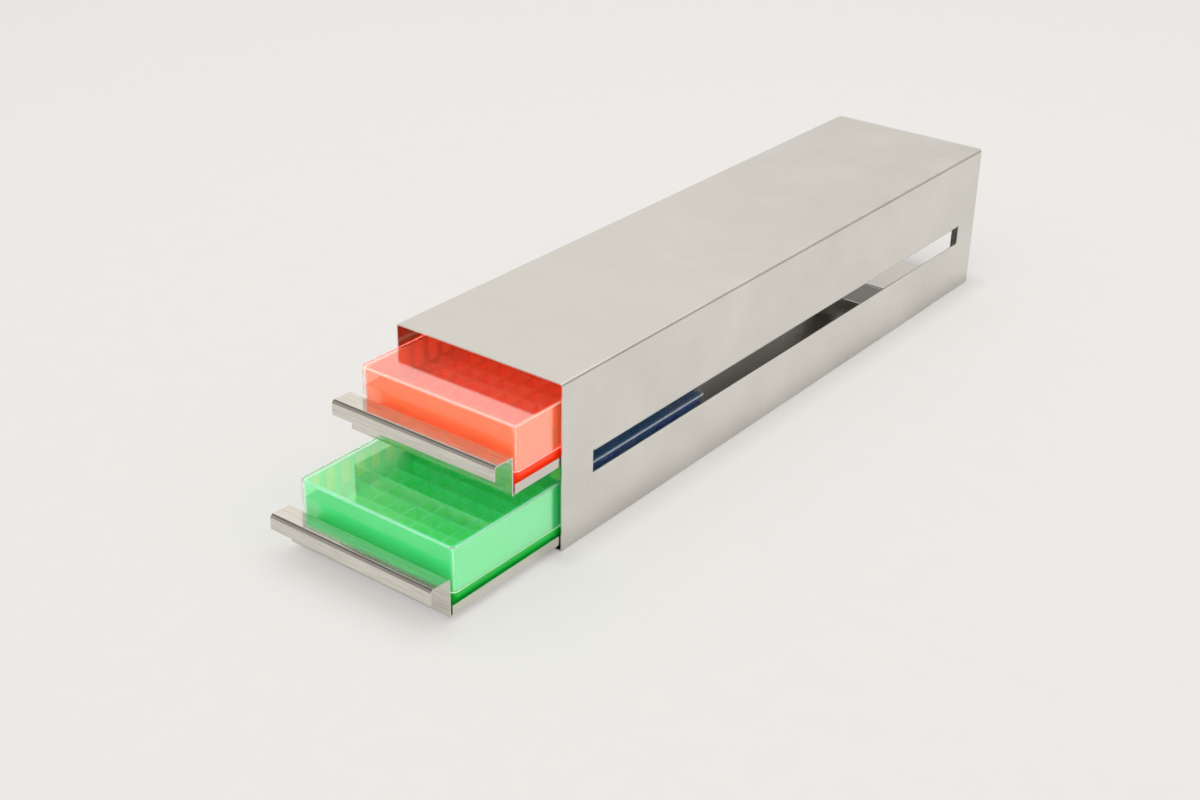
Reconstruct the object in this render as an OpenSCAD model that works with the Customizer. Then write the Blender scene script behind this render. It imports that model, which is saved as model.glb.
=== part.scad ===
// Freezer drawer rack: a folded stainless housing, and two sliding drawers that carry lidded storage boxes.
// Millimetres. X runs across the rack, Y from its front to its rear, Z up from the ground.
// The origin is on the ground, under the middle of the rack with its drawers pulled out as drawn.

/* [Sheet metal] */
// Thickness of the stainless sheet of the housing and the drawers
sheet = 1; // [0.8:0.1:1.2]
// Outside radius of the housing's folds
fold_r = 2; // [1.6:0.1:2.4]
// Outside radius of the drawers' folds
drawer_fold_r = 1.5; // [1.3:0.1:2]

/* [Housing] */
// Outer width
housing_w = 140; // [138.8:0.2:150]
// Depth from the front edge to the rear flanges
housing_d = 565; // [560:1:600]
// Outer height
housing_h = 121; // [120:0.5:140]
// Width of the rear flanges, which stop the drawers
rear_flange_w = 19.3; // [10:0.1:25]
// Room left above and below each rear flange, where the folds meet
fold_relief = 1; // [0.5:0.1:2]

/* [Runners] */
// Inward reach of the bottom flanges, under the lower drawer
flange_reach = 13; // [12:0.1:16]
// Height of the open hem along each bottom flange, which the lower drawer slides on
hem_h = 3.7; // [3.2:0.1:4.5]
// Width of the leaf that is folded back in the hems
hem_leaf = 5; // [3:0.1:6]
// Length of plain wall in front of the side slots
slot_front = 32; // [20:1:60]
// Length of plain wall behind the side slots
slot_rear = 30; // [20:1:60]
// Height of the slots' lower edge
slot_bottom = 45; // [40:0.1:50]
// Underside of the tab that is folded inward from each slot, under the upper drawer
runner_z = 59.6; // [58:0.1:62]
// Inward reach of the folded tabs
runner_reach = 11.5; // [9:0.1:14]
// Gap left at each end of a folded tab
runner_relief = 1.5; // [1:0.1:3]

/* [Tie plate] */
// Depth of the plate across the bottom flanges
tie_d = 62; // [40:1:90]
// Gap between the plate and the rear flanges
tie_rear_gap = 2; // [1:0.5:5]
// Corner radius of the plate
tie_corner_r = 3; // [2:0.5:6]

/* [Drawers] */
// Outer width of a drawer
drawer_w = 136.9; // [136:0.1:137.4]
// Length from the front panel's face to the rear lip's back
drawer_d = 546; // [540:1:550]
// Height of the side flanges and the rear lip
drawer_flange_h = 7.8; // [5:0.1:10]
// Open corner between a side flange and the front panel or the rear lip
corner_gap = 1; // [0.6:0.1:2]
// Height of the front panel and its handle
handle_h = 27.8; // [24:0.1:32]
// Depth of the handle in front of the panel
handle_d = 16.4; // [14:0.1:20]
// Height of the handle's front lip
lip_h = 10; // [8:0.1:12]
// Outside radius of the handle's front fold
handle_fold_r = 3; // [2:0.1:4]
// How far the lower drawer is pulled out, at the panel's face
lower_pull = 105; // [0:0.5:200]
// How far the upper drawer is pulled out, at the panel's face
upper_pull = 46.5; // [0:0.5:200]
// Room between a drawer and its runner
slide_gap = 0.1; // [0.05:0.05:0.3]

/* [Boxes] */
// Outer width and depth of a box
box_w = 131.8; // [130:0.1:133]
// Height of a closed box
box_h = 44; // [40:0.1:46]
// Corner radius of a box
box_corner_r = 4; // [3:0.1:6]
// Height of the base's ledge, which the lid rests on
ledge_h = 11.5; // [8:0.1:14]
// Thickness of the lid's walls and top
lid_wall = 1.5; // [1.2:0.1:1.6]
// Room between the lid and the base's wall
lid_gap = 0.7; // [0.4:0.1:1]
// Thickness of the base's wall and floor
base_wall = 1.6; // [1.2:0.1:2]
// Room between the base's rim and the lid's underside
rim_gap = 0.5; // [0.3:0.1:1]
// Gap between a box and the front panel
box_front_gap = 6; // [1:0.5:8]
// Gap between two boxes on a drawer
box_gap = 0.5; // [0.3:0.1:2]

/* [Wells] */
// Wells along each side of a box
well_count = 9; // [5:1:10]
// Thickness of the fins between wells
fin_t = 1; // [0.8:0.1:1.4]
// Height of the fins above the ground of the box
grid_top = 24.2; // [15:0.1:30]
// Room between the grid and the base's wall
grid_gap = 0.2; // [0.1:0.05:0.4]
// Depth of the upright ribs on the base's wall above the grid
rib_t = 0.5; // [0.3:0.1:0.8]
// Share of a well's width that its rib covers
rib_share = 0.4; // [0.2:0.05:0.4]

/* [Hidden] */
$fn = 64;

steel = [0.80, 0.79, 0.76];
green = [0.10, 0.75, 0.30];
blue = [0.08, 0.20, 0.45];
red = [1.00, 0.33, 0.14];
clear = [0.92, 0.94, 0.94, 0.45];

over = 1;
mid_y = (housing_d - lower_pull - handle_d) / 2;
wall_x = housing_w / 2;

// Inner edges of the two runners, and the heights of the drawers that slide on them
flange_in = wall_x - flange_reach;
runner_in = wall_x - runner_reach;
lower_z = hem_h + slide_gap;
upper_z = runner_z + 2 * sheet + slide_gap;

// Where the tie plate starts, and where the lower hem ends in front of it
tie_y = housing_d - sheet - tie_rear_gap - tie_d;
hem_d = tie_y - tie_rear_gap;

// Half widths of the box's walls, from the outside in
box_half = box_w / 2;
lid_half = box_half - lid_wall;
wall_half = lid_half - lid_gap;
well_half = wall_half - base_wall;
rim_z = box_h - lid_wall - rim_gap;
well_pitch = 2 * well_half / well_count;
rib_z = grid_top + rim_gap;

green_y = -lower_pull + sheet + box_front_gap;
blue_y = green_y + box_w + box_gap;
red_y = -upper_pull + sheet + box_front_gap;

// A fold of the sheet, seen end on: the quarter of a ring on the side that sx and sy give
module fold(r, sx, sy) {
    intersection() {
        difference() {
            circle(r);
            circle(r - sheet);
        }
        translate([sx > 0 ? 0 : -r, sy > 0 ? 0 : -r]) square(r);
    }
}

// Extrudes an outline in X and Z from y0 to y1
module along_y(y0, y1) {
    translate([0, y1, 0]) rotate([90, 0, 0]) linear_extrude(y1 - y0) children();
}

// Extrudes an outline in Y and Z over a width centred on X = 0
module across_x(w) {
    translate([-w / 2, 0, 0]) rotate([90, 0, 90]) linear_extrude(w) children();
}

module both_sides() {
    children();
    mirror([1, 0, 0]) children();
}

module rounded_square(half, r) {
    square([2 * half, 2 * (half - r)], center = true);
    square([2 * (half - r), 2 * half], center = true);
    for (x = [-1, 1], y = [-1, 1]) {
        translate([x * (half - r), y * (half - r)]) circle(r);
    }
}

// Moves from the housing's front edge to the origin under the middle of the rack
module in_rack() {
    translate([0, -mid_y, 0]) children();
}

// One half of the housing's section: top, fold, wall, fold and bottom flange
module shell_half_section() {
    flat_in = flange_in + hem_h / 2;
    translate([0, housing_h - sheet]) square([wall_x - fold_r, sheet]);
    translate([wall_x - fold_r, housing_h - fold_r]) fold(fold_r, 1, 1);
    translate([wall_x - sheet, fold_r]) square([sheet, housing_h - 2 * fold_r]);
    translate([wall_x - fold_r, fold_r]) fold(fold_r, 1, -1);
    translate([flat_in, 0]) square([wall_x - fold_r - flat_in, sheet]);
}

// The open hem along the bottom flange's inner edge
module flange_hem_section() {
    r = hem_h / 2;
    translate([flange_in + r, r]) {
        fold(r, -1, 1);
        fold(r, -1, -1);
    }
    translate([flange_in + r, hem_h - sheet]) square([hem_leaf, sheet]);
}

// The tab folded inward at the top of a side slot, with its edge hemmed flat
module runner_section() {
    nose_x = runner_in + sheet;
    translate([wall_x - fold_r, runner_z + fold_r]) fold(fold_r, 1, -1);
    translate([nose_x, runner_z]) square([wall_x - fold_r - nose_x, sheet]);
    translate([nose_x, runner_z + sheet]) square([hem_leaf, sheet]);
    intersection() {
        translate([nose_x, runner_z + sheet]) circle(sheet);
        translate([runner_in, runner_z]) square([sheet, 2 * sheet]);
    }
}

module side_slot() {
    slot_top = runner_z + fold_r;
    translate([wall_x - sheet - over, slot_front, slot_bottom])
        cube([sheet + 2 * over, housing_d - slot_front - slot_rear, slot_top - slot_bottom]);
}

// The wall's rear edge, folded inward
module rear_flange() {
    z0 = fold_r + fold_relief;
    translate([0, 0, z0]) linear_extrude(housing_h - 2 * z0) {
        translate([wall_x - fold_r, housing_d - fold_r]) fold(fold_r, 1, 1);
        translate([wall_x - rear_flange_w, housing_d - sheet]) square([rear_flange_w - fold_r, sheet]);
    }
}

module housing_shell() {
    color(steel) in_rack() {
        difference() {
            along_y(0, housing_d - fold_r) {
                shell_half_section();
                mirror([1, 0]) shell_half_section();
            }
            both_sides() side_slot();
        }
        // The top runs on to the rear face, between the rear folds
        translate([fold_r - wall_x, housing_d - fold_r, housing_h - sheet])
            cube([2 * (wall_x - fold_r), fold_r, sheet]);
        both_sides() {
            along_y(0, hem_d) flange_hem_section();
            along_y(slot_front + runner_relief, housing_d - slot_rear - runner_relief) runner_section();
            rear_flange();
        }
    }
}

module rear_tie_plate() {
    half_w = wall_x - fold_r - sheet;
    color(steel) in_rack() translate([0, tie_y, sheet]) linear_extrude(sheet) {
        translate([-half_w, tie_corner_r]) square([2 * half_w, tie_d - 2 * tie_corner_r]);
        translate([tie_corner_r - half_w, 0]) square([2 * (half_w - tie_corner_r), tie_d]);
        for (x = [-1, 1], y = [tie_corner_r, tie_d - tie_corner_r]) {
            translate([x * (half_w - tie_corner_r), y]) circle(tie_corner_r);
        }
    }
}

// The front panel and its handle, seen from the side, with the panel's face at Y = 0
module handle_section() {
    r = drawer_fold_r;
    translate([r, r]) fold(r, -1, -1);
    translate([0, r]) square([sheet, handle_h - 2 * r]);
    translate([sheet - r, handle_h - r]) fold(r, 1, 1);
    translate([handle_fold_r - handle_d, handle_h - sheet])
        square([handle_d - handle_fold_r + sheet - r, sheet]);
    translate([handle_fold_r - handle_d, handle_h - handle_fold_r]) fold(handle_fold_r, -1, 1);
    translate([-handle_d, handle_h - lip_h]) square([sheet, lip_h - handle_fold_r]);
}

module rear_lip_section() {
    r = drawer_fold_r;
    translate([drawer_d - r, r]) fold(r, 1, -1);
    translate([drawer_d - sheet, r]) square([sheet, drawer_flange_h - r]);
}

module side_flange_section() {
    r = drawer_fold_r;
    translate([drawer_w / 2 - r, r]) fold(r, 1, -1);
    translate([drawer_w / 2 - sheet, r]) square([sheet, drawer_flange_h - r]);
}

// A drawer: one sheet, with its floor, side flanges, rear lip, front panel and handle
module drawer(pull, z) {
    r = drawer_fold_r;
    floor_half = drawer_w / 2 - r;
    color(steel) in_rack() translate([0, -pull, z]) {
        translate([-floor_half, r, 0]) cube([2 * floor_half, drawer_d - 2 * r, sheet]);
        both_sides() along_y(r + corner_gap, drawer_d - r - corner_gap) side_flange_section();
        across_x(drawer_w) handle_section();
        across_x(2 * floor_half) rear_lip_section();
    }
}

module lower_drawer() {
    drawer(lower_pull, lower_z);
}

module upper_drawer() {
    drawer(upper_pull, upper_z);
}

// Places a box on a drawer's floor, with its front face at y
module on_drawer(y, drawer_z) {
    in_rack() translate([0, y + box_half, drawer_z + sheet]) children();
}

// Upright ribs on the inside of two facing walls: one to a well, in its second half
module wall_ribs() {
    for (side = [-1, 1], i = [0 : well_count - 1]) {
        translate([
            side > 0 ? well_half - rib_t : -well_half - base_wall / 2,
            -well_half + well_pitch * (i + 0.5 - rib_share / 8),
            rib_z
        ]) cube([rib_t + base_wall / 2, well_pitch * rib_share, rim_z - rib_z]);
    }
}

module box_base() {
    difference() {
        union() {
            linear_extrude(ledge_h) rounded_square(box_half, box_corner_r);
            linear_extrude(rim_z) rounded_square(wall_half, box_corner_r - lid_gap);
        }
        translate([0, 0, base_wall]) linear_extrude(box_h) rounded_square(well_half, base_wall);
    }
    wall_ribs();
    mirror([1, -1, 0]) wall_ribs();
}

module box_grid() {
    fin_len = 2 * (well_half - grid_gap);
    translate([0, 0, base_wall]) linear_extrude(grid_top - base_wall) {
        for (i = [1 : well_count - 1]) {
            at = -well_half + well_pitch * i;
            translate([at, 0]) square([fin_t, fin_len], center = true);
            translate([0, at]) square([fin_len, fin_t], center = true);
        }
    }
}

module box_lid() {
    difference() {
        translate([0, 0, ledge_h]) linear_extrude(box_h - ledge_h) rounded_square(box_half, box_corner_r);
        translate([0, 0, ledge_h - over]) linear_extrude(box_h - ledge_h - lid_wall + over)
            rounded_square(lid_half, box_corner_r - lid_wall);
    }
}

module green_box_base() {
    color(green) on_drawer(green_y, lower_z) box_base();
}

module green_box_grid() {
    color(green) on_drawer(green_y, lower_z) box_grid();
}

module green_box_lid() {
    color(clear) on_drawer(green_y, lower_z) box_lid();
}

module blue_box_base() {
    color(blue) on_drawer(blue_y, lower_z) box_base();
}

module blue_box_grid() {
    color(blue) on_drawer(blue_y, lower_z) box_grid();
}

module blue_box_lid() {
    color(clear) on_drawer(blue_y, lower_z) box_lid();
}

module red_box_base() {
    color(red) on_drawer(red_y, upper_z) box_base();
}

module red_box_grid() {
    color(red) on_drawer(red_y, upper_z) box_grid();
}

module red_box_lid() {
    color(clear) on_drawer(red_y, upper_z) box_lid();
}

housing_shell();
rear_tie_plate();
lower_drawer();
upper_drawer();
green_box_base();
green_box_grid();
green_box_lid();
blue_box_base();
blue_box_grid();
blue_box_lid();
red_box_base();
red_box_grid();
red_box_lid();
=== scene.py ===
import math

import bmesh
import bpy
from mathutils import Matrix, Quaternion, Vector


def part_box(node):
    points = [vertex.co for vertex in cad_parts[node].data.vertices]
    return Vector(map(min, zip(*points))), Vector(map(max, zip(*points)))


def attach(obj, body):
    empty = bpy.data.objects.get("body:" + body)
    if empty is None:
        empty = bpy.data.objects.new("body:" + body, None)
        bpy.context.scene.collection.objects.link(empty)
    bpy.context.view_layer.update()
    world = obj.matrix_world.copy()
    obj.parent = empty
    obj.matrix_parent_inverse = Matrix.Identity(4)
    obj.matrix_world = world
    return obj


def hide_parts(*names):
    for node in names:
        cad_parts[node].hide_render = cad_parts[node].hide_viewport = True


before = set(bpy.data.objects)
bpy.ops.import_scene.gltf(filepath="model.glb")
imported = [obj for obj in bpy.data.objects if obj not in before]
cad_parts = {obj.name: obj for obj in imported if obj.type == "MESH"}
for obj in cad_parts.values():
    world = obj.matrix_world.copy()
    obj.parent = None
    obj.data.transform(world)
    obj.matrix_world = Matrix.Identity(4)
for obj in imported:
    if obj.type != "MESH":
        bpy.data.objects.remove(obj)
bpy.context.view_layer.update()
scene = bpy.context.scene
scene.view_settings.view_transform = "Standard"
mm = 0.001


# camera

cameraView = {
    "place": (0.66281, -0.96310, 0.60557),
    "azimuth": 37.253,    # degrees turned from +Y towards -X
    "elevation": 27.526,  # degrees that it looks down
    "roll": 0.993,
    "lens": 52.139,
    "sensor": 36.0,
}


def makeCamera(setup):
    turn = math.radians(setup["azimuth"])
    tilt = math.radians(setup["elevation"])
    ahead = Vector((-math.sin(turn) * math.cos(tilt), math.cos(turn) * math.cos(tilt), -math.sin(tilt)))
    roll = Quaternion((0, 0, 1), math.radians(setup["roll"]))
    data = bpy.data.cameras.new("photoCamera")
    data.lens = setup["lens"]
    data.sensor_width = setup["sensor"]
    camera = bpy.data.objects.new("photoCamera", data)
    camera.location = setup["place"]
    camera.rotation_mode = "QUATERNION"
    camera.rotation_quaternion = ahead.to_track_quat("-Z", "Y") @ roll
    scene.collection.objects.link(camera)
    scene.camera = camera


makeCamera(cameraView)
print("camera set")


# node helpers, for shaders and geometry alike

noiseSpan = (0.3, 0.7)    # where nearly all of a noise pattern's values lie


def addNode(tree, kind, values=None):
    node = tree.nodes.new(kind)
    for key, value in (values or {}).items():
        node.inputs[key].default_value = value
    return node


def feed(tree, value, socket):
    if isinstance(value, bpy.types.NodeSocket):
        tree.links.new(value, socket)
    else:
        socket.default_value = value


def feedAll(tree, values, sockets):
    for value, socket in zip(values, sockets):
        feed(tree, value, socket)


def calc(tree, operation, *values):
    node = addNode(tree, "ShaderNodeMath")
    node.operation = operation
    feedAll(tree, values, node.inputs)
    return node.outputs[0]


def vectorCalc(tree, operation, *values):
    node = addNode(tree, "ShaderNodeVectorMath")
    node.operation = operation
    feedAll(tree, values, node.inputs)
    return node.outputs["Value" if operation in ("DOT_PRODUCT", "LENGTH") else "Vector"]


def scaled(tree, vector, factor):
    node = addNode(tree, "ShaderNodeVectorMath")
    node.operation = "SCALE"
    feed(tree, vector, node.inputs[0])
    feed(tree, factor, node.inputs["Scale"])
    return node.outputs["Vector"]


def split(tree, vector):
    node = addNode(tree, "ShaderNodeSeparateXYZ")
    feed(tree, vector, node.inputs[0])
    return node.outputs


def combine(tree, x, y, z):
    node = addNode(tree, "ShaderNodeCombineXYZ")
    feedAll(tree, (x, y, z), node.inputs)
    return node.outputs[0]


def mixColours(tree, share, first, second):
    node = addNode(tree, "ShaderNodeMix")
    node.data_type = "RGBA"
    sockets = (node.inputs[0], node.inputs[6], node.inputs[7])     # those for colours
    feedAll(tree, (share, first, second), sockets)
    return node.outputs[2]


def fade(tree, value, start, end):
    node = addNode(tree, "ShaderNodeMapRange", {"From Min": start, "From Max": end})
    node.interpolation_type = "SMOOTHSTEP"
    feed(tree, value, node.inputs["Value"])
    return node.outputs["Result"]


def startMaterial(name):
    material = bpy.data.materials.new(name)
    material.use_nodes = True
    return material, material.node_tree, material.node_tree.nodes["Principled BSDF"]


def setInputs(shader, values):
    for key, value in values.items():
        shader.inputs[key].default_value = value


def grain(tree, scale, detail=2.0, shift=(0, 0, 0)):
    coords = addNode(tree, "ShaderNodeTexCoord")
    mapping = addNode(tree, "ShaderNodeMapping", {"Scale": scale, "Location": shift})
    noise = addNode(tree, "ShaderNodeTexNoise", {"Scale": 1.0, "Detail": detail, "Roughness": 0.6})
    feed(tree, coords.outputs["Object"], mapping.inputs["Vector"])
    feed(tree, mapping.outputs["Vector"], noise.inputs["Vector"])
    return noise.outputs[0]


def evenGrain(tree, count, detail=2.0, shift=(0, 0, 0)):
    return grain(tree, (count, count, count), detail, shift)


def spread(tree, factor, low, high):
    ends = {"From Min": noiseSpan[0], "From Max": noiseSpan[1], "To Min": low, "To Max": high}
    node = addNode(tree, "ShaderNodeMapRange", ends)
    feed(tree, factor, node.inputs["Value"])
    return node.outputs["Result"]


def twoTone(tree, factor, dark, light):
    ramp = addNode(tree, "ShaderNodeValToRGB")
    for stop, position, tone in zip(ramp.color_ramp.elements, noiseSpan, (dark, light)):
        stop.position = position
        stop.color = (*tone, 1)
    feed(tree, factor, ramp.inputs["Fac"])
    return ramp.outputs["Color"]


def bump(tree, height, distance, under=None):
    node = addNode(tree, "ShaderNodeBump", {"Distance": distance, "Strength": 1.0})
    feed(tree, height, node.inputs["Height"])
    if under is not None:
        feed(tree, under, node.inputs["Normal"])
    return node.outputs["Normal"]


# studio: a paper floor, soft light all round, and the dim room with a bright screen that polish mirrors

studio = {
    "light": (1.06, 1.05, 1.03),
    "frontShare": 0.25,                   # how much more of it comes from the front
    "screenWay": (-0.605, 0.649, 0.462),  # the way to the screen's middle
    # degrees from that way, and the level there
    "mirrored": (
        (0, 1.04), (8, 1.04), (14, 0.82), (38, 0.77),
        (55, 0.56), (80, 0.38), (104, 0.48), (126, 0.82),
    ),
    "tint": (1.0, 0.968, 0.92),           # of all that is mirrored
    # the dimmer gap between the screen and the lamp overhead
    "gapLow": (0.64, 0.74),               # over these heights it sets in
    "gapHigh": (0.84, 0.93),              # and over these it ends
    "gapFront": (-0.5, -0.2),             # over these depths it sets in from the front
    "gapShade": 0.72,
    "bounces": 16,                        # light finds its way through lids, trays and wells
    "paper": (0.838, 0.827, 0.800),       # as the paper is seen
    "floorTones": ((0.625, 0.617, 0.597), (0.640, 0.632, 0.611)),
    "fibres": 40.0,                       # to a metre
    "floorRoughness": 0.9,
    "floorGloss": 0.1,
    "floorLift": 0.5,                     # how far the shadow is lightened, where it is looked at
    "floorFade": (1.8, 4.0),              # from here to there the paper goes over into the background
    "floorSize": 14.0,
    "contactReach": 24.0 * mm,            # painted shadow: the paper is dimmer this near to the housing
    "contactShade": (0.28, 0.55),         # of the painted shadow, as it is seen, and as the steel mirrors it
    "lampPlace": (0.05, 0.25, 1.9),
    "lampSize": 2.2,
    "lampPower": 16.0,
}


def lookedAt(tree):
    # 1 for what is seen, also in a mirroring surface, and 0 for what lights the object
    rays = addNode(tree, "ShaderNodeLightPath")
    return calc(tree, "LESS_THAN", rays.outputs["Diffuse Depth"], 0.5)


def seenDirectly(tree):
    return addNode(tree, "ShaderNodeLightPath").outputs["Is Camera Ray"]


def softLight(tree, way, setup):
    level = calc(tree, "MULTIPLY_ADD", split(tree, way)["Y"], -setup["frontShare"], 1.0)
    return scaled(tree, setup["light"], level)


def mirroredRoom(tree, way, setup):
    screen = Vector(setup["screenWay"]).normalized()
    turn = calc(tree, "ARCCOSINE", vectorCalc(tree, "DOT_PRODUCT", way, screen))
    ramp = addNode(tree, "ShaderNodeValToRGB")
    stops = ramp.color_ramp.elements
    while len(stops) < len(setup["mirrored"]):
        stops.new(1.0)
    for stop, (degrees, level) in zip(stops, setup["mirrored"]):
        stop.position = degrees / 180
        stop.color = (*[level * channel for channel in setup["tint"]], 1)
    feed(tree, calc(tree, "MULTIPLY", turn, 1 / math.pi), ramp.inputs["Fac"])
    parts = split(tree, way)
    above = fade(tree, parts["Z"], *setup["gapLow"])
    below = calc(tree, "SUBTRACT", 1.0, fade(tree, parts["Z"], *setup["gapHigh"]))
    behind = fade(tree, parts["Y"], *setup["gapFront"])
    gap = calc(tree, "MULTIPLY", behind, calc(tree, "MULTIPLY", above, below))
    return scaled(tree, ramp.outputs["Color"], calc(tree, "MULTIPLY_ADD", gap, -setup["gapShade"], 1.0))


def makeWorld(setup):
    world = bpy.data.worlds.new("studioWorld")
    world.use_nodes = True
    world.cycles.sampling_method = "NONE"
    tree = world.node_tree
    way = addNode(tree, "ShaderNodeTexCoord").outputs["Generated"]
    room = mixColours(tree, lookedAt(tree), softLight(tree, way, setup), mirroredRoom(tree, way, setup))
    shown = mixColours(tree, seenDirectly(tree), room, (*setup["paper"], 1))
    feed(tree, shown, tree.nodes["Background"].inputs["Color"])
    scene.world = world
    scene.cycles.blur_glossy = 0.0             # or else the lids keep half of the light out
    scene.cycles.max_bounces = 3 * setup["bounces"]
    scene.cycles.diffuse_bounces = setup["bounces"]
    scene.cycles.glossy_bounces = setup["bounces"]
    scene.cycles.transmission_bounces = 2 * setup["bounces"]


def outsideHousing(tree, place):
    # 1 on the floor round the housing and at its open rear, 0 on the floor under the drawers
    low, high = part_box("housing_shell")
    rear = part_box("rear_tie_plate")[0].y
    spot = split(tree, place)
    across = calc(tree, "LESS_THAN", calc(tree, "ABSOLUTE", spot["X"]), high.x)
    along = calc(tree, "GREATER_THAN", spot["Y"], low.y)
    before = calc(tree, "LESS_THAN", spot["Y"], rear)
    under = calc(tree, "MULTIPLY", across, calc(tree, "MULTIPLY", along, before))
    return calc(tree, "SUBTRACT", 1.0, under)


def besideHousing(tree, place, reach):
    # 1 at the foot of the housing, going down to 0 on the floor beside it: where the painted contact shadow
    # falls
    low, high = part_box("housing_shell")
    fromMiddle = vectorCalc(tree, "ABSOLUTE", vectorCalc(tree, "SUBTRACT", place, (low + high) / 2))
    past = vectorCalc(tree, "SUBTRACT", fromMiddle, (high - low) / 2)
    away = vectorCalc(tree, "LENGTH", vectorCalc(tree, "MAXIMUM", past, (0, 0, 0)))
    return calc(tree, "SUBTRACT", 1.0, fade(tree, away, 0.0, reach))


def floorPaper(setup):
    material, tree, shader = startMaterial("paper")
    fibres = evenGrain(tree, setup["fibres"], detail=4.0)
    feed(tree, twoTone(tree, fibres, *setup["floorTones"]), shader.inputs["Base Color"])
    setInputs(shader, {"Roughness": setup["floorRoughness"], "Specular IOR Level": setup["floorGloss"]})
    place = addNode(tree, "ShaderNodeTexCoord").outputs["Object"]
    # a painted contact shadow: the paper's emission is lowered beside the housing, more where the steel
    # mirrors it
    seenShade, mirroredShade = setup["contactShade"]
    shade = calc(tree, "MULTIPLY_ADD", seenDirectly(tree), seenShade - mirroredShade, mirroredShade)
    shade = calc(tree, "MULTIPLY", shade, besideHousing(tree, place, setup["contactReach"]))
    glow = addNode(tree, "ShaderNodeEmission", {"Color": (*setup["paper"], 1)})
    feed(tree, calc(tree, "SUBTRACT", 1.0, shade), glow.inputs["Strength"])
    far = fade(tree, vectorCalc(tree, "LENGTH", place), *setup["floorFade"])
    strength = calc(tree, "MULTIPLY_ADD", far, 1 - setup["floorLift"], setup["floorLift"])
    share = calc(tree, "MULTIPLY", lookedAt(tree), outsideHousing(tree, place))
    share = calc(tree, "MULTIPLY", share, strength)
    lift = addNode(tree, "ShaderNodeMixShader")
    feedAll(tree, (share, shader.outputs[0], glow.outputs[0]), lift.inputs)
    feed(tree, lift.outputs[0], tree.nodes["Material Output"].inputs["Surface"])
    return material


def makeFloor(setup):
    half = setup["floorSize"] / 2
    corners = [(-half, -half, 0), (half, -half, 0), (half, half, 0), (-half, half, 0)]
    mesh = bpy.data.meshes.new("paperFloor")
    mesh.from_pydata(corners, [], [(0, 1, 2, 3)])
    mesh.materials.append(floorPaper(setup))
    floor = bpy.data.objects.new("paperFloor", mesh)
    scene.collection.objects.link(floor)


def makeLamp(setup):
    data = bpy.data.lights.new("softLamp", "AREA")
    data.shape = "SQUARE"
    data.size = setup["lampSize"]
    data.energy = setup["lampPower"]
    lamp = bpy.data.objects.new("softLamp", data)
    lamp.location = setup["lampPlace"]
    lamp.rotation_mode = "QUATERNION"
    lamp.rotation_quaternion = (-Vector(setup["lampPlace"])).to_track_quat("-Z", "Y")
    scene.collection.objects.link(lamp)


makeWorld(studio)
makeFloor(studio)
makeLamp(studio)
print("studio lit")


# brushed steel

steelFinish = {
    "tones": ((0.700, 0.680, 0.642), (0.810, 0.790, 0.746)),
    "roughness": (0.26, 0.34),
    "anisotropy": 0.75,   # the brushing blurs what is mirrored across its lines
    "streak": 2400.0,     # fine lines to a metre, across the brushing
    "lineDepth": 0.004 * mm,
    "coarse": 900.0,      # and coarse ones
    "coarseShift": (3.1, 1.7, 4.3),
    "coarseDepth": 0.0015 * mm,
    "stretch": 9.0,       # how slowly the lines change along the brushing
    "wave": 16.0,         # clouds and dents to a metre
    "waveShift": (7.7, 2.9, 5.1),
    "waveDepth": 0.12 * mm,
    "lines": 0.16,        # the coarse lines' share of the tones, beside the clouds
}
drawerFinish = {
    **steelFinish,
    "tones": ((0.55, 0.525, 0.478), (0.81, 0.782, 0.730)),
    "roughness": (0.09, 0.16),
    "anisotropy": 0.8,
    "lineDepth": 0.007 * mm,
    "coarse": 1700.0,
    "coarseDepth": 0.004 * mm,
    "stretch": 40.0,
    "lines": 0.8,
}
innerFinish = {
    **steelFinish,        # the sheet's inner side: darker tones than the outside
    "tones": ((0.46, 0.447, 0.42), (0.53, 0.515, 0.485)),
    "roughness": (0.22, 0.30),
}


def brushedSteel(name, setup, wrapped):
    # wrapped: the lines run round the folds, over the top and down the sides. Otherwise they run along X.
    material, tree, shader = startMaterial(name)
    slow = setup["stretch"]

    def lines(count, shift=(0, 0, 0)):
        return grain(tree, (slow, count, slow if wrapped else count), shift=shift)

    fine = lines(setup["streak"])
    coarse = lines(setup["coarse"], setup["coarseShift"])
    cloud = evenGrain(tree, setup["wave"], detail=3.0, shift=setup["waveShift"])
    share = setup["lines"]
    mix = calc(tree, "MULTIPLY_ADD", coarse, share, calc(tree, "MULTIPLY", cloud, 1 - share))
    feed(tree, twoTone(tree, mix, *setup["tones"]), shader.inputs["Base Color"])
    feed(tree, spread(tree, mix, *setup["roughness"]), shader.inputs["Roughness"])
    quarterTurn = 0.25
    setInputs(shader, {
        "Metallic": 1.0,
        "Anisotropic": setup["anisotropy"],
        "Anisotropic Rotation": 0.0 if wrapped else quarterTurn,
    })
    brushing = addNode(tree, "ShaderNodeVectorTransform", {"Vector": (0, 1, 0) if wrapped else (1, 0, 0)})
    brushing.vector_type = "VECTOR"
    brushing.convert_from = "OBJECT"
    brushing.convert_to = "WORLD"
    feed(tree, brushing.outputs[0], shader.inputs["Tangent"])
    wavy = bump(tree, cloud, setup["waveDepth"])
    lined = bump(tree, coarse, setup["coarseDepth"], wavy)
    feed(tree, bump(tree, fine, setup["lineDepth"], lined), shader.inputs["Normal"])
    return material


housingSteel = brushedSteel("housingSteel", steelFinish, True)
drawerSteel = brushedSteel("drawerSteel", drawerFinish, False)
innerSteel = brushedSteel("innerSteel", innerFinish, True)
print("finishes made")


# folded sheet: patches of one surface, welded, thickened and with the cut edges broken

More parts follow.
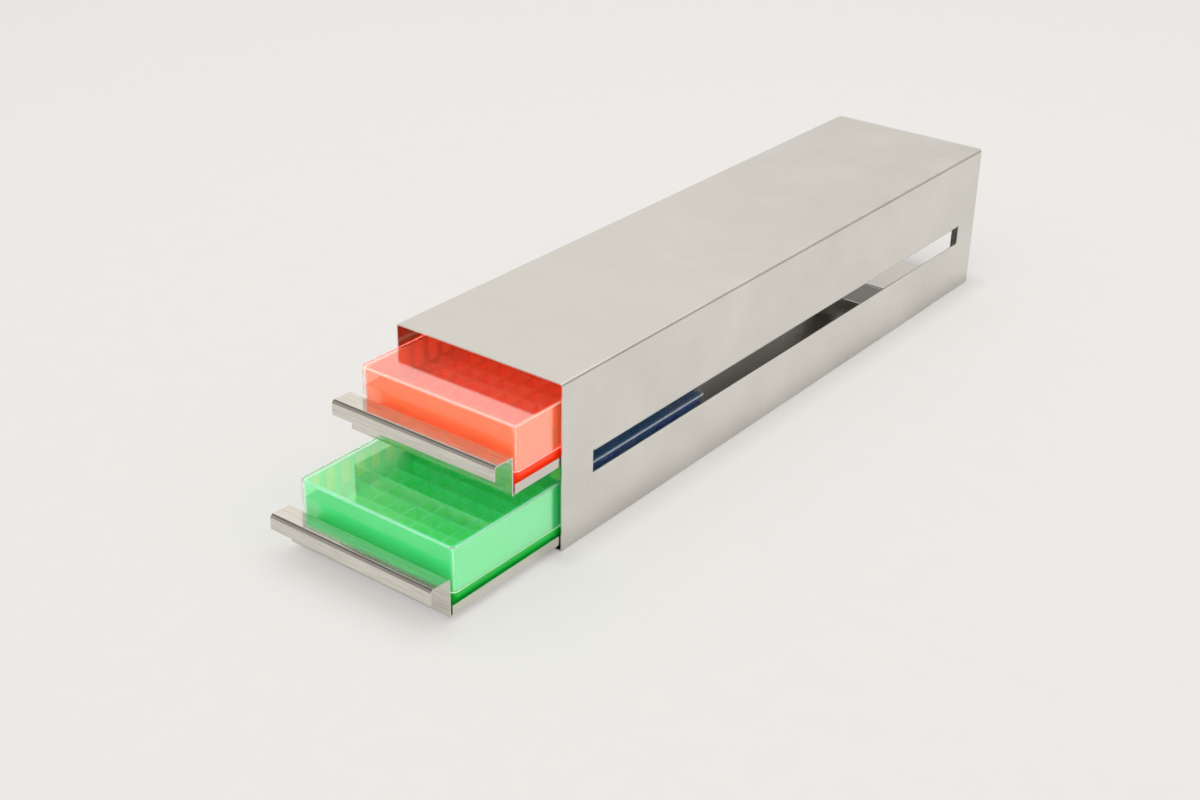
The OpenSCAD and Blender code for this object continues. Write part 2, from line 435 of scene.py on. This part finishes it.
sheetMetal = {
    "thickness": 0.98 * mm,  # a hair under 1 mm, so that a closed hem's leaves don't touch
    "weld": 0.01 * mm,       # corners of patches that are nearer than this become one
    "edge": 0.12 * mm,
    "edgeAngle": 50,
    "foldSteps": 8,
}


def arc(centre, radius, start, end, steps=sheetMetal["foldSteps"]):
    points = []
    for i in range(steps + 1):
        angle = math.radians(start + (end - start) * i / steps)
        points.append((centre[0] + radius * math.cos(angle), centre[1] + radius * math.sin(angle)))
    return points


def mirrored(path):
    return [(-x, z) for x, z in reversed(path)]


def addPatch(mesh, rows, finish=0):
    grid = [[mesh.verts.new(point) for point in row] for row in rows]
    for near, far in zip(grid, grid[1:]):
        for i in range(len(near) - 1):
            face = mesh.faces.new((near[i], near[i + 1], far[i + 1], far[i]))
            face.material_index = finish


def toPiece(name, mesh):
    data = bpy.data.meshes.new(name)
    mesh.to_mesh(data)
    mesh.free()
    data.polygons.foreach_set("use_smooth", [True] * len(data.polygons))
    piece = bpy.data.objects.new(name, data)
    scene.collection.objects.link(piece)
    return piece


def keepFlat(piece):
    # shading by the large faces, so that flats look flat beside their rounded edges
    piece.modifiers.new("flatness", "WEIGHTED_NORMAL").mode = "FACE_AREA"


def breakEdges(piece, width, angle):
    edge = piece.modifiers.new("edges", "BEVEL")
    edge.width = width
    edge.segments = 2
    edge.limit_method = "ANGLE"
    edge.angle_limit = math.radians(angle)
    keepFlat(piece)


def finishSheet(name, mesh, finishes, setup, insideShift=0):
    # insideShift: how many finishes further down the list the sheet's other side has its own
    bmesh.ops.remove_doubles(mesh, verts=mesh.verts, dist=setup["weld"])
    piece = toPiece(name, mesh)
    for finish in finishes:
        piece.data.materials.append(finish)
    wall = piece.modifiers.new("sheet", "SOLIDIFY")
    wall.thickness = setup["thickness"]
    wall.offset = -1
    wall.material_offset = insideShift
    wall.use_even_offset = True
    wall.use_quality_normals = True
    breakEdges(piece, setup["edge"], setup["edgeAngle"])
    return piece


housingShell = {
    "foldRadius": 2.0 * mm,
    "flangeReach": 13.0 * mm,
    "hemHeight": 3.7 * mm,
    "hemLeaf": 5.0 * mm,
    "hemEnd": 67.0 * mm,       # from the rear face
    "slotFront": 32.0 * mm,    # from the front edge
    "slotRear": 30.0 * mm,     # from the rear face
    "slotBottom": 45.0 * mm,
    "runnerHeight": 59.6 * mm,
    "runnerReach": 11.5 * mm,
    "runnerRelief": 1.5 * mm,
    "rearFlange": 19.3 * mm,
    "rearRelief": 1.0 * mm,
    "sheet": 1.0 * mm,
}


def makeHousing(setup):
    low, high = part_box("housing_shell")
    side, top, front, rear = high.x, high.z, low.y, high.y
    fold = setup["foldRadius"]
    bend = side - fold                         # where the flats end
    hem = setup["hemHeight"] / 2
    hemX = side - setup["flangeReach"] + hem
    nose = setup["sheet"]
    noseX = side - setup["runnerReach"] + nose
    runner = setup["runnerHeight"]
    slotTop = runner + fold
    foldRear = rear - fold
    slotSpan = (front + setup["slotFront"], rear - setup["slotRear"])
    tabSpan = (slotSpan[0] + setup["runnerRelief"], slotSpan[1] - setup["runnerRelief"])
    hemSpan = (front, rear - setup["hemEnd"])
    flangeLow = fold + setup["rearRelief"]
    flangeHigh = top - flangeLow
    stations = sorted((front, *slotSpan, *tabSpan, hemSpan[1], foldRear))
    mesh = bmesh.new()

    def run(path, start=front, end=foldRear):
        ys = [y for y in stations if start <= y <= end]
        for way in (path, mirrored(path)):
            addPatch(mesh, [[(x, y, z) for x, z in way] for y in ys])

    addPatch(mesh, [[(-bend, y, top), (bend, y, top)] for y in (*stations, rear)])
    run(arc((bend, top - fold), fold, 90, 0))
    run([(side, top - fold), (side, flangeHigh), (side, slotTop)])
    run([(side, slotTop), (side, setup["slotBottom"])], front, slotSpan[0])
    run([(side, slotTop), (side, setup["slotBottom"])], slotSpan[1], foldRear)
    run([(side, setup["slotBottom"]), (side, flangeLow), (side, fold)])
    run(arc((bend, fold), fold, 0, -90) + [(hemX, 0)])
    run(arc((hemX, hem), hem, 270, 90) + [(hemX + setup["hemLeaf"], 2 * hem)], *hemSpan)
    tab = arc((bend, slotTop), fold, 0, -90) + arc((noseX, runner + nose), nose, 270, 90)
    run(tab + [(noseX + setup["hemLeaf"], runner + 2 * nose)], *tabSpan)

    zs = [flangeHigh, slotTop, setup["slotBottom"], flangeLow]
    flange = arc((bend, foldRear), fold, 0, 90) + [(side - setup["rearFlange"], rear)]
    addPatch(mesh, [[(x, y, z) for z in zs] for x, y in flange])
    addPatch(mesh, [[(-x, y, z) for z in reversed(zs)] for x, y in flange])
    return finishSheet("housingShell", mesh, (housingSteel, innerSteel), sheetMetal, insideShift=1)


tiePlate = {"cornerRadius": 3.0 * mm}


def makeTiePlate(setup):
    low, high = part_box("rear_tie_plate")
    radius = setup["cornerRadius"]
    outline = []
    for i, (x, y) in enumerate(((high.x, high.y), (low.x, high.y), (low.x, low.y), (high.x, low.y))):
        inX = x - math.copysign(radius, x)
        inY = y - radius if i < 2 else y + radius
        outline += arc((inX, inY), radius, 90 * i, 90 * i + 90)
    mesh = bmesh.new()
    mesh.faces.new([mesh.verts.new((x, y, high.z)) for x, y in outline])
    return finishSheet("rearTiePlate", mesh, (housingSteel,), sheetMetal)


drawerSheet = {
    "sheet": 1.0 * mm,
    "foldRadius": 1.5 * mm,
    "flangeHeight": 7.8 * mm,
    "cornerGap": 1.0 * mm,
    "handleDepth": 16.4 * mm,
    "handleFold": 3.0 * mm,
    "lipHeight": 10.0 * mm,
    "springBack": 0.5 * mm,    # the fold opens a little after bending
}


def makeDrawer(name, node, setup):
    low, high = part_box(node)
    sheet, fold = setup["sheet"], setup["foldRadius"]
    inner = fold - sheet
    side = high.x - sheet                      # inside faces of the side flanges
    flat = high.x - fold
    panel = low.y + setup["handleDepth"]       # front face of the panel
    rear = high.y
    base = low.z + sheet                       # the floor's upper face
    bendZ = low.z + fold
    flangeTop = low.z + setup["flangeHeight"]
    floorSpan = (panel + fold, rear - fold)
    flangeSpan = (floorSpan[0] + setup["cornerGap"], floorSpan[1] - setup["cornerGap"])
    finishes = (drawerSteel, innerSteel)
    mesh = bmesh.new()

    floorRows = [[(-flat, y, base), (flat, y, base)] for y in sorted((*floorSpan, *flangeSpan))]
    addPatch(mesh, floorRows, finishes.index(innerSteel))
    flange = arc((flat, bendZ), inner, 270, 360) + [(side, flangeTop)]
    for way in (flange, mirrored(flange)):
        addPatch(mesh, [[(x, y, z) for x, z in way] for y in flangeSpan])
    lip = arc((floorSpan[1], bendZ), inner, 270, 360) + [(rear - sheet, flangeTop)]
    addPatch(mesh, [[(-flat, y, z), (flat, y, z)] for y, z in lip])

    top, bend = high.z, setup["handleFold"]
    lifted = top + setup["springBack"]
    handle = [(low.y, top - setup["lipHeight"])]
    handle += arc((low.y + bend, lifted - bend), bend, 180, 90)
    handle += arc((panel + sheet - fold, top - fold), fold, 90, 0)
    handle += arc((panel + fold, bendZ), inner, 180, 270)
    addPatch(mesh, [[(x, y, z) for x in (-high.x, -flat, flat, high.x)] for y, z in handle])
    return finishSheet(name, mesh, finishes, sheetMetal)


def settle(piece, body, slot, *nodes):
    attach(piece, body)
    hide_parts(*nodes)


settle(makeHousing(housingShell), "housing", "stainless", "housing_shell")
settle(makeTiePlate(tiePlate), "housing", "stainless", "rear_tie_plate")
settle(makeDrawer("lowerDrawer", "lower_drawer", drawerSheet), "lower_drawer", "stainless", "lower_drawer")
settle(makeDrawer("upperDrawer", "upper_drawer", drawerSheet), "upper_drawer", "stainless", "upper_drawer")
print("steel folded")


# plastics of the storage boxes

trayFinish = {
    # dark and light tone, and a glow: painted light, an emission that stands for the light that the plastic
    # passes on
    "green": {
        "tray": ((0.075, 0.91, 0.345), (0.095, 0.95, 0.385), 0.036),
        "wall": ((0.050, 0.91, 0.298), (0.065, 0.95, 0.338), 0.022),
        # in each colour, the foot's deeper tone is partly the thicker plastic and partly painted shade
        # below the lid; the red foot's glow is painted light
        "foot": ((0.002, 0.48, 0.045), (0.004, 0.54, 0.060), 0.0),
        # in each colour, the ribs' lighter tone and glow are painted light: bright stripes of light shining
        # through the box's wall
        "rib": ((0.42, 0.94, 0.27), (0.48, 0.97, 0.31), 0.09),
    },
    "blue": {
        "tray": ((0.032, 0.095, 0.190), (0.038, 0.110, 0.225), 0.28),
        "wall": ((0.020, 0.080, 0.270), (0.026, 0.095, 0.320), 0.04),
        "foot": ((0.008, 0.026, 0.110), (0.010, 0.034, 0.140), 0.0),
        "rib": ((0.04, 0.12, 0.36), (0.05, 0.14, 0.42), 0.06),
    },
    "red": {
        "tray": ((0.98, 0.225, 0.085), (1.0, 0.255, 0.100), 0.07),
        "wall": ((0.98, 0.230, 0.060), (1.0, 0.260, 0.075), 0.15),
        "foot": ((0.95, 0.045, 0.004), (1.0, 0.060, 0.008), 0.14),
        "rib": ((1.0, 0.19, 0.07), (1.0, 0.22, 0.09), 0.18),
    },
    "scattered": {"tray": 1.0, "wall": 1.0, "foot": 1.0, "rib": 0.0},
    "scatter": 3.0 * mm,
    "roughness": (0.30, 0.42),
    "ior": 1.49,
    # patterns, each so many to a metre
    "cloud": 60.0,
    "speckle": 900.0,
    "pores": 2500.0,
    "poreDepth": 0.004 * mm,
}


def translucentPlastic(colour, part, setup):
    dark, light, glow = setup[colour][part]
    material, tree, shader = startMaterial(colour + part.capitalize())
    cloud = evenGrain(tree, setup["cloud"], detail=3.0)
    feed(tree, twoTone(tree, cloud, dark, light), shader.inputs["Base Color"])
    speckle = evenGrain(tree, setup["speckle"])
    feed(tree, spread(tree, speckle, *setup["roughness"]), shader.inputs["Roughness"])
    pores = evenGrain(tree, setup["pores"])
    feed(tree, bump(tree, pores, setup["poreDepth"]), shader.inputs["Normal"])
    # the glow is painted light, emitted in the dark tone
    setInputs(shader, {
        "Emission Color": (*dark, 1),
        "Emission Strength": glow,
        "IOR": setup["ior"],
        "Subsurface Weight": setup["scattered"][part],
        "Subsurface Radius": (1.0, 1.0, 1.0),
        "Subsurface Scale": setup["scatter"],
    })
    return material


lidFinish = {
    "tones": {
        "plain": ((0.980, 0.988, 0.984), (0.995, 0.998, 0.997)),
        "grey": ((0.70, 0.73, 0.70), (0.76, 0.79, 0.76)),
    },
    "roughness": {"smooth": (0.015, 0.035), "satin": (0.06, 0.11), "frosted": (0.12, 0.20)},
    # tones, roughness, how clear it is (the rest is haze) and gloss; the hazed edge, rim, shoulder and
    # crest bands are painted highlight lines along the lid's edges, dimmed with grey on the shoulder and
    # crest
    "parts": {
        "outside": ("plain", "smooth", 0.985, 1.0),
        "inside": ("plain", "satin", 0.985, 0.0),
        "wall": ("plain", "smooth", 0.975, 1.0),
        "edge": ("plain", "frosted", 0.75, 0.0),
        "rim": ("plain", "frosted", 0.2, 0.0),
        "shoulder": ("grey", "frosted", 0.62, 0.0),
        "crest": ("grey", "frosted", 0.72, 0.0),
    },
    # painted light: a glow on the lid's edges that stands for the light the clear plastic carries from the
    # tray
    "paintedEdgeGlow": {
        "green": {"rim": (0.36, 0.48, 0.36)},
        "blue": {"rim": (0.20, 0.22, 0.26)},
        "red": {"rim": (0.60, 0.32, 0.28), "shoulder": (0.35, 0.12, 0.09), "crest": (0.35, 0.12, 0.09)},
    },
    "ior": 1.49,
    "glossIor": 1.7,
    "glossRoughness": 0.02,
    # patterns, each so many to a metre
    "cloud": 45.0,
    "scuffs": 140.0,
    "ripples": 70.0,
    "rippleDepth": 0.003 * mm,
}


def clearPlastic(colour, part, setup):
    tones, roughness, clear, gloss = setup["parts"][part]
    material, tree, shader = startMaterial(colour + "Lid" + part.capitalize())
    cloud = evenGrain(tree, setup["cloud"], detail=3.0)
    feed(tree, twoTone(tree, cloud, *setup["tones"][tones]), shader.inputs["Base Color"])
    scuffs = evenGrain(tree, setup["scuffs"], detail=4.0)
    feed(tree, spread(tree, scuffs, *setup["roughness"][roughness]), shader.inputs["Roughness"])
    ripples = evenGrain(tree, setup["ripples"])
    feed(tree, bump(tree, ripples, setup["rippleDepth"]), shader.inputs["Normal"])
    setInputs(shader, {
        "IOR": setup["ior"],
        "Transmission Weight": clear,
        "Coat Weight": gloss,
        "Coat IOR": setup["glossIor"],
        "Coat Roughness": setup["glossRoughness"],
        "Emission Color": (*setup["paintedEdgeGlow"][colour].get(part, (0, 0, 0)), 1),
        "Emission Strength": 1.0,
    })
    return material


# storage boxes: tray, wells and lid

storageBox = {
    "cornerRadius": 4.0 * mm,
    "cornerSteps": 12,
    "height": 44.0 * mm,
    "edge": 0.4 * mm,
    "ledge": 11.5 * mm,        # height of the step that the lid stands on
    "lidWall": 1.5 * mm,
    "lidGap": 0.7 * mm,
    "lidRound": 1.0 * mm,      # rounding of the lid's top edge
    "lidFoot": 0.8 * mm,       # whiter band round its bottom edge, a painted highlight line
    "trayWall": 1.6 * mm,
    "rim": 42.0 * mm,
    "wells": 9,
    "finThickness": 1.0 * mm,
    "finEdge": 0.15 * mm,
    "finEdgeAngle": 60,
    "gridTop": 24.2 * mm,
    "gridGap": 0.2 * mm,
    "ribThickness": 0.5 * mm,
    "ribShare": 0.58,          # of a well's width
    "ribStart": 0.16,          # from the well's front or left side, in wells
    "ribLow": 24.7 * mm,
}


def squareRing(half, radius, height, steps):
    ring = []
    spot = (half - radius) * math.sqrt(2)      # from the middle to a corner arc's centre
    for turn in (0, 90, 180, 270):
        diagonal = math.radians(turn + 45)
        centre = (spot * math.cos(diagonal), spot * math.sin(diagonal))
        ring += [(x, y, height) for x, y in arc(centre, radius, turn, turn + 90, steps)]
    return ring


def rounded(half, radius, z, edge, start, end, steps=3):
    # rings round an edge: start and end are degrees in the plane of half width and height
    rings = []
    for x, y in arc((half, z), edge, start, end, steps):
        rings.append((x, radius + x - half, y))
    return rings


def loft(name, centre, rings, steps):
    mesh = bmesh.new()
    loops = []
    for half, radius, height in rings:
        points = squareRing(half, radius, height, steps)
        loops.append([mesh.verts.new(Vector(point) + centre) for point in points])
    for low, high in zip(loops, loops[1:]):
        for i in range(len(low)):
            j = (i + 1) % len(low)
            mesh.faces.new((low[i], low[j], high[j], high[i]))
    mesh.faces.new(list(reversed(loops[0])))
    mesh.faces.new(loops[-1])
    bmesh.ops.recalc_face_normals(mesh, faces=mesh.faces)
    return toPiece(name, mesh)


def paintBands(piece, plastics, bands, steps):
    # one finish for each band between two rings, then one for each end face
    for plastic in plastics.values():
        piece.data.materials.append(plastic)
    order = list(plastics)
    ringFaces = 4 * (steps + 1)
    ends = (len(bands) - 2) * ringFaces
    for face in piece.data.polygons:
        band = face.index // ringFaces if face.index < ends else face.index - ends + len(bands) - 2
        face.material_index = order.index(bands[band])


def makeLid(name, centre, half, plastics, setup):
    wall, rounding, edge = setup["lidWall"], setup["lidRound"], setup["edge"]
    corner, top, foot = setup["cornerRadius"], setup["height"], setup["ledge"]
    inside = half - wall
    innerCorner = corner - wall
    rings = rounded(inside - edge, innerCorner - edge, top - wall - edge, edge, 90, 0)
    bands = ["inside"] * (len(rings) - 1) + ["wall"]
    rings += [(inside, innerCorner, foot + edge / 2), (inside + edge / 2, innerCorner + edge / 2, foot)]
    rings += [(half - edge / 2, corner - edge / 2, foot), (half, corner, foot + edge / 2)]
    rings += [(half, corner, foot + setup["lidFoot"])]
    bands += ["rim", "rim", "rim", "edge", "wall"]
    halfway = 3                                # steps of the shoulder, and then of the crest
    rings += rounded(half - rounding, corner - rounding, top - rounding, rounding, 0, 90, 2 * halfway)
    bands += ["shoulder"] * halfway + ["crest"] * halfway
    bands += ["inside", "outside"]             # the ceiling and the top
    steps = setup["cornerSteps"]
    lid = loft(name, centre, rings, steps)
    paintBands(lid, plastics, bands, steps)
    order = list(plastics)
    for face in lid.data.polygons:
        facet = face.index % (steps + 1)       # round a corner, and then the straight side
        if abs(facet - (steps - 1) / 2) < 1 and face.material_index == order.index("wall"):
            face.material_index = order.index("edge")      # the middle of a rounded corner gets the hazed edge finish, a painted highlight line
    keepFlat(lid)
    return lid


def newTree(name, inputs):
    tree = bpy.data.node_groups.new(name, "GeometryNodeTree")
    tree.interface.new_socket("Geometry", in_out="INPUT", socket_type="NodeSocketGeometry")
    for label, kind in inputs:
        tree.interface.new_socket(label, in_out="INPUT", socket_type="NodeSocket" + kind)
    tree.interface.new_socket("Geometry", in_out="OUTPUT", socket_type="NodeSocketGeometry")
    return tree, addNode(tree, "NodeGroupInput").outputs


def endTree(tree, geometry, material):
    realize = addNode(tree, "GeometryNodeRealizeInstances")
    paint = addNode(tree, "GeometryNodeSetMaterial")
    feed(tree, geometry, realize.inputs["Geometry"])
    feed(tree, realize.outputs["Geometry"], paint.inputs["Geometry"])
    feed(tree, material, paint.inputs["Material"])
    return paint.outputs["Geometry"]


def moveBy(tree, geometry, way):
    moved = addNode(tree, "GeometryNodeTransform")
    feed(tree, geometry, moved.inputs["Geometry"])
    feed(tree, way, moved.inputs["Translation"])
    return moved.outputs["Geometry"]


def rowOf(tree, count, start, step, size):
    line = addNode(tree, "GeometryNodeMeshLine")
    block = addNode(tree, "GeometryNodeMeshCube")
    place = addNode(tree, "GeometryNodeInstanceOnPoints")
    feed(tree, count, line.inputs["Count"])
    feed(tree, start, line.inputs["Start Location"])
    feed(tree, step, line.inputs["Offset"])
    feed(tree, size, block.inputs["Size"])
    feed(tree, line.outputs["Mesh"], place.inputs["Points"])
    feed(tree, block.outputs["Mesh"], place.inputs["Instance"])
    return place.outputs["Instances"]


def applyTree(name, tree, values, source=None):
    holder = source
    if holder is None:
        holder = bpy.data.objects.new(name + "Holder", bpy.data.meshes.new(name + "Start"))
        scene.collection.objects.link(holder)
    modifier = holder.modifiers.new("nodes", "NODES")
    modifier.node_group = tree
    for item in tree.interface.items_tree:
        if item.item_type == "SOCKET" and item.in_out == "INPUT" and item.name in values:
            modifier[item.identifier] = values[item.name]
    depsgraph = bpy.context.evaluated_depsgraph_get()
    result = bpy.data.meshes.new_from_object(holder.evaluated_get(depsgraph), depsgraph=depsgraph)
    bpy.data.objects.remove(holder)
    result.name = name
    piece = bpy.data.objects.new(name, result)
    scene.collection.objects.link(piece)
    return piece


def wellGridTree():
    inputs = (("Wells", "Int"), ("Pitch", "Float"), ("Fin Length", "Float"), ("Fin Thickness", "Float"),
              ("Fin Height", "Float"), ("Foot", "Vector"), ("Material", "Material"))
    tree, given = newTree("wellGrid", inputs)
    count = calc(tree, "SUBTRACT", given["Wells"], 1)
    gaps = calc(tree, "SUBTRACT", given["Wells"], 2)
    first = calc(tree, "MULTIPLY", gaps, calc(tree, "MULTIPLY", given["Pitch"], -0.5))
    middle = calc(tree, "MULTIPLY", given["Fin Height"], 0.5)
    size = combine(tree, given["Fin Thickness"], given["Fin Length"], given["Fin Height"])
    start = combine(tree, first, 0.0, middle)
    step = combine(tree, given["Pitch"], 0.0, 0.0)
    fins = rowOf(tree, count, start, step, size)
    solid = addNode(tree, "GeometryNodeRealizeInstances")
    feed(tree, fins, solid.inputs["Geometry"])
    turned = addNode(tree, "GeometryNodeTransform", {"Rotation": (0, 0, math.radians(90))})
    feed(tree, solid.outputs["Geometry"], turned.inputs["Geometry"])
    union = addNode(tree, "GeometryNodeMeshBoolean")
    union.operation = "UNION"
    union.solver = "EXACT"
    feed(tree, solid.outputs["Geometry"], union.inputs["Mesh 2"])
    feed(tree, turned.outputs["Geometry"], union.inputs["Mesh 2"])
    grid = moveBy(tree, union.outputs["Mesh"], given["Foot"])
    feed(tree, endTree(tree, grid, given["Material"]), addNode(tree, "NodeGroupOutput").inputs[0])
    return tree


def trayRibTree():
    inputs = (("Wells", "Int"), ("Pitch", "Float"), ("Half", "Float"), ("Rib Width", "Float"),
              ("Rib Thickness", "Float"), ("Rib Height", "Float"), ("Start", "Float"), ("Middle", "Vector"),
              ("Material", "Material"))
    tree, given = newTree("trayRibs", inputs)
    sunk = 0.5                                 # this share of the thickness that shows is in the wall
    depth = calc(tree, "MULTIPLY", given["Rib Thickness"], 1 + sunk)
    inset = calc(tree, "MULTIPLY", given["Rib Thickness"], (1 - sunk) / 2)
    out = calc(tree, "SUBTRACT", given["Half"], inset)
    back = calc(tree, "MULTIPLY", out, -1.0)
    walls = addNode(tree, "GeometryNodeJoinGeometry")
    sizeY = combine(tree, depth, given["Rib Width"], given["Rib Height"])
    sizeX = combine(tree, given["Rib Width"], depth, given["Rib Height"])
    stepY = combine(tree, 0.0, given["Pitch"], 0.0)
    stepX = combine(tree, given["Pitch"], 0.0, 0.0)
    for place in (out, back):
        startY = combine(tree, place, given["Start"], 0.0)
        startX = combine(tree, given["Start"], place, 0.0)
        feed(tree, rowOf(tree, given["Wells"], startY, stepY, sizeY), walls.inputs[0])
        feed(tree, rowOf(tree, given["Wells"], startX, stepX, sizeX), walls.inputs[0])
    ribs = endTree(tree, moveBy(tree, walls.outputs[0], given["Middle"]), given["Material"])
    both = addNode(tree, "GeometryNodeJoinGeometry")
    feed(tree, given["Geometry"], both.inputs[0])
    feed(tree, ribs, both.inputs[0])
    feed(tree, both.outputs[0], addNode(tree, "NodeGroupOutput").inputs[0])
    return tree


def makeTray(name, centre, half, plastics, tree, setup):
    edge, corner = setup["edge"], setup["cornerRadius"]
    ledge, rim, wall = setup["ledge"], setup["rim"], setup["trayWall"]
    outside = half - setup["lidWall"] - setup["lidGap"]
    outCorner = corner - setup["lidGap"]
    inside = outside - wall
    inCorner = wall
    rings = rounded(half - edge, corner - edge, edge, edge, -90, 0)
    rings += rounded(half - edge, corner - edge, ledge - edge, edge, 0, 90)
    bands = ["foot"] * len(rings)
    rings += [(outside, outCorner, ledge)]
    bands += ["wall"]
    rings += rounded(outside - edge, outCorner - edge, rim - edge, edge, 0, 90)
    rings += rounded(inside + edge, inCorner + edge, rim - edge, edge, 90, 180)
    rings += [(inside, inCorner, wall)]
    bands += ["tray"] * (len(rings) - 1 - len(bands))
    bands += ["foot", "tray"]                  # the underside and the floor
    tray = loft(name, centre, rings, setup["cornerSteps"])
    paintBands(tray, plastics, bands, setup["cornerSteps"])
    pitch = 2 * inside / setup["wells"]
    ribWidth = pitch * setup["ribShare"]
    ribHeight = rim - edge - setup["ribLow"]
    values = {
        "Wells": setup["wells"],
        "Pitch": pitch,
        "Half": inside,
        "Rib Width": ribWidth,
        "Rib Thickness": setup["ribThickness"],
        "Rib Height": ribHeight,
        "Start": -inside + pitch * setup["ribStart"] + ribWidth / 2,
        "Middle": centre + Vector((0, 0, setup["ribLow"] + ribHeight / 2)),
        "Material": plastics["rib"],
    }
    tray = applyTree(name, tree, values, tray)
    keepFlat(tray)
    return tray


def makeWells(name, centre, half, plastic, tree, setup):
    inside = half - setup["lidWall"] - setup["lidGap"] - setup["trayWall"]
    values = {
        "Wells": setup["wells"],
        "Pitch": 2 * inside / setup["wells"],
        "Fin Length": 2 * (inside - setup["gridGap"]),
        "Fin Thickness": setup["finThickness"],
        "Fin Height": setup["gridTop"] - setup["trayWall"],
        "Foot": centre + Vector((0, 0, setup["trayWall"])),
        "Material": plastic,
    }
    wells = applyTree(name, tree, values)
    breakEdges(wells, setup["finEdge"], setup["finEdgeAngle"])
    return wells


gridTree = wellGridTree()
ribTree = trayRibTree()


def makeBox(colour, carrier, setup):
    low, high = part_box(colour + "_box_base")
    centre = Vector(((low.x + high.x) / 2, (low.y + high.y) / 2, low.z))
    half = (high.x - low.x) / 2
    plastics = {part: translucentPlastic(colour, part, trayFinish) for part in trayFinish[colour]}
    tray = makeTray(colour + "BoxTray", centre, half, plastics, ribTree, setup)
    settle(tray, carrier, colour + "_plastic", colour + "_box_base")
    wells = makeWells(colour + "BoxWells", centre, half, plastics["tray"], gridTree, setup)
    settle(wells, carrier, colour + "_plastic", colour + "_box_grid")
    lidPlastics = {part: clearPlastic(colour, part, lidFinish) for part in lidFinish["parts"]}
    lid = makeLid(colour + "BoxLid", centre, half, lidPlastics, setup)
    settle(lid, colour + "_lid", "clear_plastic", colour + "_box_lid")
    print(colour, "box made")


for colour, carrier in (("green", "lower_drawer"), ("blue", "lower_drawer"), ("red", "upper_drawer")):
    makeBox(colour, carrier, storageBox)
